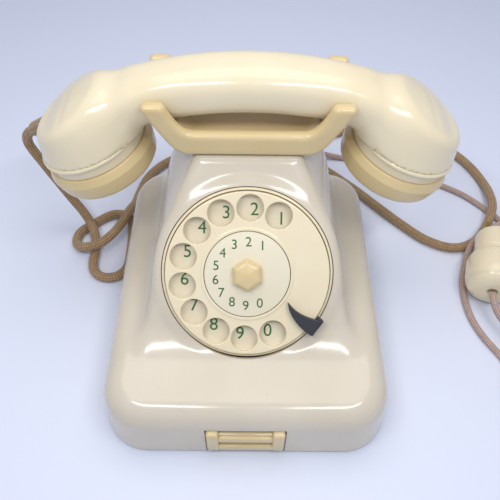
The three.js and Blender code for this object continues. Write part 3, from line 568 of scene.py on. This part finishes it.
LINE_CORD_TAIL = [
    (181.5, -26, 15.6), (175.6, -25.3, 15.1), (169.8, -23, 14), (164.6, -19.2, 12.8),
    (160.4, -12.8, 12.7), (157.8, -6.4, 14.3), (156.8, -0.6, 16.7), (156.8, 3.4, 17.6),
]
COIL_CENTRE = (193, -50)
COIL_RADII = (28.4, 24, 19.6, 19.6, 24, 28.4, 28.4, 24, 19.6, 19.6, 24)
COIL_LEVELS = (2.2, 2.2, 2.2, 6.6, 6.6, 6.6, 11, 11, 11, 15.4, 15.4)
COIL_FIRST_ANGLE = 180
COIL_LAST_ANGLE = 3690
COIL_FIRST_SHIFT = 500          # where the first turn starts to move over to the next place
COIL_SHIFT_WIDTH = 38


def coil_points():
    """The turns of the spare length: three side by side, wound in, up, out, up, in, up and out again."""
    points = []
    for degrees in range(COIL_FIRST_ANGLE, COIL_LAST_ANGLE + 1, 15):
        passed = (degrees - COIL_FIRST_SHIFT) / (360 - COIL_SHIFT_WIDTH)
        turn = max(0, math.floor(passed) + 1) if degrees >= COIL_FIRST_SHIFT else 0
        since = degrees - COIL_FIRST_SHIFT - (turn - 1) * (360 - COIL_SHIFT_WIDTH)
        share = 1.0 if turn == 0 else min(1.0, since / COIL_SHIFT_WIDTH)
        share = share * share * (3 - 2 * share)
        old = max(turn - 1, 0)
        radius = COIL_RADII[old] * (1 - share) + COIL_RADII[turn] * share
        level = COIL_LEVELS[old] * (1 - share) + COIL_LEVELS[turn] * share
        angle = math.radians(degrees)
        points.append((COIL_CENTRE[0] + radius * math.cos(angle), COIL_CENTRE[1] + radius * math.sin(angle),
                       level))
    return points


PLUG_FACE = (157, 4, 17.6)
LAID_ALONG_Y = Matrix.Rotation(-math.pi / 2, 4, "X")
PLUG_PLACE = Matrix.Translation(PLUG_FACE) @ Matrix.Rotation(math.radians(-17.5), 4, "Z") @ LAID_ALONG_Y
RELIEF_PLACE = Matrix.Translation(RELIEF_START) @ Vector((0, 0, 1)).rotation_difference(
    RELIEF_WAY).to_matrix().to_4x4()


def make_cords():
    for name, x, bore in (("handset_cord_gland", -GLAND_X, 3.1), ("line_cord_gland", GLAND_X, 2.2)):
        ribs = [(bore + 2.0 - 0.06 * k + (0.35 if k % 2 else -0.35), 5 + k * 1.7, 0.4) for k in range(10)]
        profile = [(0, -6), (7, -6, 0.4), (7, -4.5, 0.4), (5, -4.3), (5, 0.4), (6.6, 0.5, 0.4),
                   (6.6, 2.4, 0.6), (bore + 2.2, 3.6, 0.6)] + ribs + [(bore + 0.6, 22, 0.3), (0, 22)]
        finished(name + "_sleeve", turned(profile, 40, 3), gland_rubber, "base", (name,),
                               Matrix.Translation((x, HOUSING_REAR, GLAND_Z)) @ LAID_ALONG_Y, 50)
    along, _ = eased_line([tuple(RELIEF_START), tuple(RELIEF_START + RELIEF_WAY * 20),
                           tuple(RELIEF_START + RELIEF_WAY * RELIEF_LENGTH)], 1.5)
    relief = cord_tube("handset_cord_sleeve", along,
                       lambda t: 5.2 - 0.4 * t - 1.3 * max(0, t - 0.93) / 0.07, brown_braid, 28)
    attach(relief, "handset")
    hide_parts("handset_strain_relief")

    line, length = eased_line(HANDSET_CORD[::-1], 1.5)
    cord = cord_tube("handset_cord_braid", line, lambda t: HANDSET_CORD_RADIUS, brown_braid, 16)
    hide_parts("handset_cord")
    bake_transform(cord)
    print("handset cord length", length)

    parts = make_plug()
    line, length = eased_line(LINE_CORD_RUN + coil_points() + LINE_CORD_TAIL, 1.5)
    cord = cord_tube("line_cord_braid", line, lambda t: LINE_CORD_RADIUS, rose_braid, 12)
    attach(cord, "base")
    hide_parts("line_cord_run", "line_cord_coil", "line_cord_tail")
    print("line cord length", length)


def make_plug():
    cap = [(0, 9), (3.3, 9), (3.3, 0.2, 0.6), (6.5, 0, 1), (9.5, 0.3, 2), (15, 2.2, 4), (17.4, 8, 4),
           (17.4, 23.4, 2), (15.4, 27.4, 1.6), (0, 27.4)]
    base = [(0, 27.7), (13.4, 27.7), (13.4, 30), (13.1, 30.4, 0.3), (13.1, 31.2, 0.3), (13.4, 31.6),
            (13.4, 46, 1.2), (12.2, 48, 0.8), (0, 48)]
    parts = [
        finished("plug_cap_shell", turned(cap, 72), handset_ivory, "base", ("plug_cap",),
                 PLUG_PLACE),
        finished("plug_rear_shell", turned(base, 72), handset_ivory, "base", ("plug_base",),
                 PLUG_PLACE),
    ]
    cut_away(parts[0], moved(drum(2, 14.8, 20), Matrix.Translation(PLUG_FACE) @ Matrix.Rotation(
        math.radians(-17.5), 4, "Z") @ Matrix.Translation((0, 16, 0))))
    shade(parts[0], 32)
    for side, x in (("left", -6), ("right", 6)):
        pin = turned([(0, 48.3), (2, 48.3), (2, 60, 0.8), (1.2, 61, 0.5), (0, 61)], 24)
        parts.append(finished("plug_pin_" + side + "_turned", pin, turned_brass, "base", ("plug_pin_" + side,),
                              PLUG_PLACE @ Matrix.Translation((x, 0, 0))))
    return parts


make_cords()

# ---------------------------------------------------------------- housing
HOUSING_FRONT = -92.4
HOUSING_HALF_WIDTH = 79
HOUSING_BOTTOM = 2
WALL = 3
DRAFT = math.tan(math.radians(4))
SHOULDER_RADIUS = 11.5
DECK_TOP = 38.5
DECK_CLIMB = 4.74 / (HOUSING_REAR - HOUSING_FRONT)
DIAL_CENTRE = Vector((0, -22.7, 72.5))
DIAL_PLACE = Matrix.Translation(DIAL_CENTRE) @ Matrix.Rotation(math.pi / 4, 4, "X")
COLLAR_RADIUS = 50
COLLAR_FACE = -5
TOWER_TOP = 112.5
DECK_FILLET = 9
UPPER_FOOT = 28                 # the tower and the dial's collar reach down to here, inside the deck
HALF_SLOPE = math.sqrt(0.5)

tower_half_width = drawn_through([20, 30, 44, 55, 69, 83.5, 98, 112.5], [62, 60, 57, 53.5, 50.2, 45.5, 37, 28])


def in_dial(y, z):
    """The height over the dial's face and the distance up its slope."""
    dy, dz = y - DIAL_CENTRE.y, z - DIAL_CENTRE.z
    return (dz - dy) * HALF_SLOPE, (dz + dy) * HALF_SLOPE


def housing_form(x, y, z):
    narrowing = (z - HOUSING_BOTTOM) * DRAFT
    middle = (HOUSING_FRONT + HOUSING_REAR) / 2
    corner = 25 - 0.6 * narrowing
    across = np.abs(x) - (HOUSING_HALF_WIDTH - narrowing) + corner
    along = np.abs(y - middle) - ((HOUSING_REAR - HOUSING_FRONT) / 2 - narrowing) + corner
    rounded = np.hypot(np.maximum(across, 0), np.maximum(along, 0))
    wall = np.minimum(np.maximum(across, along), 0) + rounded - corner
    deck = round_meet(wall, z - DECK_TOP - DECK_CLIMB * (y - HOUSING_FRONT), SHOULDER_RADIUS)
    over, up = in_dial(y, z)
    flank = (np.abs(x) - tower_half_width(z)) * 0.9
    back = y - 86 + (z - 30) * 0.158
    tower = round_meet(round_meet(flank, over - COLLAR_FACE, 4.5), back, 14)
    tower = round_meet(tower, z - TOWER_TOP, 2)
    collar = round_meet(np.hypot(x, up) - COLLAR_RADIUS, over - COLLAR_FACE, 3)
    upper = np.maximum(round_join(tower, collar, 5), UPPER_FOOT - z)
    return round_join(deck, upper, DECK_FILLET)


def make_housing():
    levels = ((25, 62, -50, 88), (55, 53, -32, 81), (83.5, 45, -4, 76.5), (112, 28, 25, 72.5))
    corners = [(sx * half, y, z) for z, half, front, rear in levels for sx in (-1, 1) for y in (front, rear)]
    rough = joined(brick((-78, -91.5, -8), (78, 92.5, 39), 9, 2), hull(corners),
                   moved(drum(49, -42, -5.5), DIAL_PLACE))
    skin = skinned(rough, housing_form, 1.8, 8, -2)
    bmesh.ops.bisect_plane(skin, geom=skin.verts[:] + skin.edges[:] + skin.faces[:],
                           plane_co=(0, 0, HOUSING_BOTTOM), plane_no=(0, 0, 1), clear_inner=True)
    housing = finished("housing_moulding", skin, housing_ivory, "base", ("housing",), None, 45)
    wall = housing.modifiers.new("wall", "SOLIDIFY")
    wall.thickness = WALL * MM
    wall.offset = -1
    wall.use_even_offset = True
    settle_modifiers(housing)
    well = moved(turned([(0, -60), (42.6, -60), (42.6, -9.2), (46.6, -9.2), (46.6, 8), (0, 8)], 128),
                 DIAL_PLACE)
    tools = joined(well, brick((-21.6, HOUSING_FRONT - 6, -2), (21.6, HOUSING_FRONT + 9, 27)),
                   moved(drum(4.6, 104, 116, 32), Matrix.Translation((0, HANDSET_Y, 0))),
                   *[moved(drum(5.3, -12, 5, 32), Matrix.Translation((x, HOUSING_REAR, GLAND_Z)) @ LAID_ALONG_Y)
                     for x in (-GLAND_X, GLAND_X)])
    cut_away(housing, tools)
    shade(housing, 45)


make_housing()


# ---------------------------------------------------------------- dial
WHEEL_RADIUS = 44
HOLE_RADIUS = 7.25
HOLE_CIRCLE = 35.3
HOLE_ANGLES = [math.radians(62.3 + 25.7 * k) for k in range(10)]
DIGITS = "1234567890"
NUMBER_RING_FACE = -6.2


def figure(text, height, weight, place):
    curve = bpy.data.curves.new("figure", "FONT")
    curve.body = text
    curve.size = height / 0.73
    curve.align_x = "CENTER"
    curve.align_y = "CENTER"
    curve.offset = weight if text != "4" else 0    # a heavier outline would close the small hole in it
    curve.extrude = 0.04
    return moved(flat_mesh(curve, 0), place)


def figures(name, height, weight, radius, lag, level, body):
    shapes = [figure(digit, height, weight, Matrix.Translation(
        (radius * math.cos(angle - lag), radius * math.sin(angle - lag), level)))
        for digit, angle in zip(DIGITS, HOLE_ANGLES)]
    return finished(name, joined(*shapes), figure_green, body, (), DIAL_PLACE, 30)


def make_dial():
    blank = turned([(23.3, -3), (WHEEL_RADIUS, -3, 0.7), (WHEEL_RADIUS, 0, 0.7), (25.3, 0), (24.7, 0.5, 0.3),
                    (23.3, 0.5, 0.2), (23.3, -3)], 160, 3)
    wheel = finished("finger_wheel_disc", blank, handset_ivory, "dial", ("finger_wheel",),
                     DIAL_PLACE)
    hole = [(0, -4), (HOLE_RADIUS, -4), (HOLE_RADIUS, 0, 0.5), (HOLE_RADIUS + 0.58, 0.02),
            (HOLE_RADIUS + 0.58, 0.9), (0, 0.9)]
    cut_away(wheel, joined(*[moved(turned(hole, 48, 4), DIAL_PLACE @ Matrix.Translation(
        (HOLE_CIRCLE * math.cos(a), HOLE_CIRCLE * math.sin(a), 0))) for a in HOLE_ANGLES]))
    shade(wheel, 40)
    even_shading(wheel)
    card = turned([(3, -0.3), (22.9, -0.3), (22.9, 0.22, 0.15), (0, 0.22)], 120, 3)
    finished("number_card_disc", card, card_ivory, "dial", ("number_card",), DIAL_PLACE)
    figures("number_card_figures", 5.3, 0.012, 17.2, 0, 0.24, "dial")

    button = turned([(0, 0.5), (8.8, 0.5), (8.8, 3.4), (7.0, 5.2), (0, 6.3)], 6)
    bmesh.ops.bevel(button, geom=button.edges, offset=0.7, affect="EDGES", segments=3, profile=0.5, material=-1)
    even_shading(finished("centre_button_cap", button, warm_ivory, "dial", ("centre_button",),
                          DIAL_PLACE @ Matrix.Rotation(math.radians(34), 4, "Z")))

    case = turned([(3.3, -26), (36, -26, 1), (38.5, -24, 1), (38.5, -9), (46.2, -9, 0.3), (46.2, -3.4, 0.7),
                   (45.6, -2.8, 0.3), (44.7, -2.9, 0.3), (44.6, -7.9), (36, -7.9), (36, -23.5), (3.3, -23.5),
                   (3.3, -26)], 128, 3)
    finished("dial_case_pressing", case, handset_ivory, "base", ("dial_case",), DIAL_PLACE)
    ring = turned([(12, -7.5), (44.3, -7.5), (44.3, -4.4), (42.4, -4.4, 0.5), (41.4, NUMBER_RING_FACE, 0.5),
                   (12, NUMBER_RING_FACE), (12, -7.5)], 128, 3)
    finished("number_ring_plate", ring, card_ivory, "base", ("number_ring",), DIAL_PLACE)
    figures("number_ring_figures", 7.2, 0.014, 34.3, math.radians(4), NUMBER_RING_FACE + 0.03, "base")
    make_finger_stop()


def bend(start, pull, end, count=8):
    """Points of a plain curve from start to end that leans towards pull, without its end."""
    a, b, c = Vector(start), Vector(pull), Vector(end)
    return [tuple(a * (1 - t) ** 2 + b * 2 * t * (1 - t) + c * t * t)
            for t in (k / count for k in range(count))]


def make_finger_stop():
    blade = bend((27.4, 0.6), (35, -1.6), (44.4, 2.6)) + bend((44.4, 2.6), (46, 3.4), (47, 3.4), 3)
    blade += [(47.4, -4.8)] + bend((47, -5.2), (36, -6.2), (27.4, 0.1))
    arm = plate([blade], 0.7, 3.3, 0.45)
    foot = brick((44.6, -5.4, -2.4), (48, 4.6, 2.4), 0.5)
    even_shading(finished("finger_stop_thorn", joined(arm, foot), stop_plastic, "base", ("finger_stop",),
                          DIAL_PLACE @ Matrix.Rotation(math.radians(-36.5), 4, "Z")))


make_dial()


# ---------------------------------------------------------------- note tray
def make_note_tray():
    out = HOUSING_FRONT - 1.2
    back = out + 8.5
    bars = [
        brick((-21, out, 4.4), (-14.4, back, 26.2), 1.5, 4),
        brick((14.4, out, 4.4), (21, back, 26.2), 1.5, 4),
        brick((-20, out + 0.4, 4.4), (20, back, 10.2), 1.0, 3),
        brick((-15, out + 0.6, 15.4), (15, back, 21), 1.2, 4),
        brick((-15, out + 2.4, 20), (15, back, 23), 0.6, 2),
        brick((-20, back - 1.6, 4.6), (20, back, 23), 0.3, 2),
        brick((-18.5, back - 2, 6.6), (18.5, 6, 8.4), 0.2, 2),
        brick((-18.5, 4.5, 6.6), (18.5, 6, 9.6), 0.2, 2),
    ]
    finished("note_tray_moulding", joined(*bars), warm_ivory, "tray", ("note_tray",), None, 40)


make_note_tray()

# ---------------------------------------------------------------- cradle
CRADLE_BOTTOM = 113
CRADLE_HALF_DEPTH = 24.2
CRADLE_WALL = 6.6


def mirrored(points):
    return points + [(-x, z) for x, z in reversed(points)]


cradle_side = mirrored([(0.5, CRADLE_BOTTOM)] + bend((33, CRADLE_BOTTOM), (39, 114.5), (43, 121.8))
                       + bend((43, 121.8), (49, 132), (53.4, 140.4))
                       + bend((53.4, 140.4), (54, 143.4), (50.5, 143.6))
                       + [(50.5, 143.6)] + bend((45, 143.6), (42, 143.4), (41, 140.6))
                       + bend((41, 140.6), (36, 127.5), (29, 126.4)) + [(29, 126.4), (0.5, 126.4)])
trough_side = mirrored([(0.5, 118), (31, 118), (38, 123.8), (44, 123.4), (70, 121.8), (70, 160), (0.5, 160)])


def within(outline):
    """The distance from an outline in X and Z, below nought inside it."""
    ends = np.array(outline)
    starts = np.roll(ends, 1, axis=0)

    def at(x, z):
        nearest = np.full(np.shape(x), 1e9)
        inside = np.zeros(np.shape(x), bool)
        for (ax, az), (bx, bz) in zip(starts, ends):
            ex, ez = bx - ax, bz - az
            t = np.clip(((x - ax) * ex + (z - az) * ez) / max(ex * ex + ez * ez, 1e-9), 0, 1)
            nearest = np.minimum(nearest, np.hypot(x - ax - t * ex, z - az - t * ez))
            if az != bz:
                inside ^= ((az > z) != (bz > z)) & (x < ax + (z - az) * ex / ez)
        return np.where(inside, -nearest, nearest)

    return at


in_cradle = within(cradle_side)
in_trough = within(trough_side)


def cradle_form(x, y, z):
    depth = np.abs(y - HANDSET_Y)
    whole = round_meet(in_cradle(x, z), depth - CRADLE_HALF_DEPTH, 2.8)
    trough = round_meet(in_trough(x, z), depth - (CRADLE_HALF_DEPTH - CRADLE_WALL), 1.5)
    return round_meet(whole, -trough, 2.2)


def copied(node):
    """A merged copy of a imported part's mesh, in millimetres."""
    bm = bmesh.new()
    bm.from_mesh(frame["nodes"][node].data)
    bmesh.ops.transform(bm, matrix=Matrix.Scale(1 / MM, 4), verts=bm.verts)
    bmesh.ops.remove_doubles(bm, verts=bm.verts, dist=0.001)
    return bm


finished("cradle_moulding", skinned(copied("cradle"), cradle_form, 1.1, 6), warm_ivory, "cradle", ("cradle",),
         None, 50)

# ---------------------------------------------------------------- handset
HEAD_X = 88.5
HEAD_Z = 106.2
HEAD_TILT = math.radians(18)
HANDLE = [(0, 129.4, 155.4, 16.5), (14, 128.9, 155, 16.5), (28, 127.3, 153.6, 16.5), (42, 124.8, 151.2, 16.4),
          (54, 121, 148.4, 17), (64, 115.5, 145.2, 18.6), (76, 107.5, 139.2, 19.6), (88, 103, 132.2, 18.5),
          (98, 104, 125.8, 15)]
both_ends = [(-x, *rest) for x, *rest in reversed(HANDLE[1:])] + HANDLE
handle_low, handle_high, handle_half = (drawn_through([s[0] for s in both_ends], [s[k] for s in both_ends])
                                        for k in (1, 2, 3))


def handset_form(x, y, z):
    middle = (handle_high(x) + handle_low(x)) / 2
    half_height = (handle_high(x) - handle_low(x)) / 2
    half_width = handle_half(x)
    side = np.abs(y - HANDSET_Y)
    handle = (((side / half_width) ** 2.5 + (np.abs(z - middle) / half_height) ** 2.5) ** 0.4 - 1) * half_height
    handle = round_meet(handle, np.abs(x) - 99, 6)
    out, rise = np.abs(x) - HEAD_X, z - HEAD_Z
    across = out * math.cos(HEAD_TILT) - rise * math.sin(HEAD_TILT)
    height = out * math.sin(HEAD_TILT) + rise * math.cos(HEAD_TILT)
    reach = np.hypot(across, side)
    bell = (reach - 30.2 + 0.325 * np.maximum(height, 0)) * 0.951    # its outer side stands upright
    slope = 0.545 * (np.abs(x) - 101.7) + 0.838 * (z - 123.8)
    head = round_meet(bell, slope, 3.2)
    whole = round_join(handle, head, 12)
    under = np.maximum(height - 1, reach - 36)
    return round_meet(whole, -under, 0.6)


def head_place(side):
    return Matrix.Translation((side * HEAD_X, HANDSET_Y, HEAD_Z)) @ Matrix.Rotation(side * HEAD_TILT, 4, "Y")


def make_handset():
    shells = []
    for (x0, low0, high0, half0), (x1, low1, high1, half1) in zip(both_ends, both_ends[1:]):
        shells.append(hull([(x, HANDSET_Y + sy * half * 0.9, z) for x, low, high, half in
                            ((x0 - 0.5, low0, high0, half0), (x1 + 0.5, low1, high1, half1))
                            for sy in (-1, 1) for z in (low, high)]))
    for side in (-1, 1):
        shells.append(moved(turned([(0, 1), (29.5, 1), (25.5, 14), (20, 21), (0, 24)], 48), head_place(side)))
    body = finished("handset_moulding", skinned(joined(*shells), handset_form, 1.2, 8), handset_ivory,
                    "handset",
                    ("handset_body",), None, 45)
    hollow = [(0, -12), (24, -12), (24, 3), (17, 9), (0, 9)]
    cut_away(body, joined(*[moved(turned(hollow, 64), head_place(side)) for side in (-1, 1)]))
    cut_away(body, moved(drum(5.5, 0, 40, 32), RELIEF_PLACE))
    shade(body, 45)
    for name, side in (("mouth", -1), ("ear", 1)):
        rim = turned([(24.2, -6.2), (29.3, -6.2, 0.3), (29.3, -0.9, 0.2), (30.4, -0.7, 0.3), (30.8, 0.3, 0.5),
                      (30.2, 1.3, 0.3), (26, 1.6), (24.2, 1.2), (24.2, -6.2)], 120, 3)
        finished(name + "_rim", rim, handset_ivory, "handset", (), head_place(side))
        cap = turned([(0, -21.1), (20, -21.1, 1), (22.4, -22.4, 1), (28.2, -22.5, 1.5), (30.6, -20.5, 2),
                      (31.8, -15),
                      (32.4, -10.8, 0.5), (30.4, -6.5, 0.5), (27.2, -6.5), (27.2, -17.1), (0, -17.1)], 120, 4)
        shell = finished(name + "_cap_moulding", cap, warm_ivory, "handset", (name + "_cap",),
                         head_place(side))
        turns = [math.tau * k / 6 for k in range(6)]
        spots = [(0, 0)] + [(9 * math.cos(turn), 9 * math.sin(turn)) for turn in turns]
        holes = [moved(drum(1.6, -24, -15, 20), head_place(side) @ Matrix.Translation((*spot, 0)))
                 for spot in spots]
        cut_away(shell, joined(*holes))
        shade(shell, 32)


make_handset()

# ---------------------------------------------------------------- parts shown as packed
FINISH_OF_SLOT = {
    "ivory_shell": housing_ivory, "ivory_handset": handset_ivory, "ivory_warm": warm_ivory,
    "printed_ivory": card_ivory, "charcoal_plastic": stop_plastic, "zinc_steel": zinc, "dark_steel": lacquered,
    "brass": turned_brass, "black_rubber": gland_rubber, "brown_phenolic": laminate, "copper_winding": winding,
    "braid_brown": brown_braid, "braid_rose": rose_braid,
}
slot_of_node = {row["node"]: row["material_slot"] for row in frame["record"]["subparts"]}
for name, node in frame["nodes"].items():
    node.data.materials.clear()
    node.data.materials.append(FINISH_OF_SLOT[slot_of_node[name]])


# ---------------------------------------------------------------- floor and light
def add_light(name, place, size, power, tint, target=(0, 0, 40)):
    data = bpy.data.lights.new(name, "AREA")
    data.shape = "RECTANGLE"
    data.size, data.size_y = size[0] * MM, size[1] * MM
    data.energy = power
    data.color = colour(tint)[:3]
    light = bpy.data.objects.new(name, data)
    place = Vector(place) * MM
    light.location = place
    light.rotation_euler = (Vector(target) * MM - place).to_track_quat("-Z", "Y").to_euler()
    scene.collection.objects.link(light)


def add_surroundings():
    paint = new_material("floor_paint")
    close(paint, {"Base Color": colour("#dfe4f4"), "Roughness": 0.7})
    bm = bmesh.new()
    bmesh.ops.create_grid(bm, x_segments=1, y_segments=1, size=2500)
    floor = finished("floor", bm, paint, None)
    world = bpy.data.worlds.new("tent")
    world.use_nodes = True
    world.node_tree.nodes["Background"].inputs["Color"].default_value = colour("#dce4f6")
    world.node_tree.nodes["Background"].inputs["Strength"].default_value = 0.56
    scene.world = world
    add_light("strip_left", (-150, -190, 520), (230, 36), 0.7, "#ffffff")
    add_light("strip_right", (165, -190, 520), (250, 36), 0.7, "#ffffff")
    add_light("ceiling", (0, 160, 700), (700, 420), 1.7, "#fff8ee")
    scene.view_settings.view_transform = "Standard"


add_surroundings()
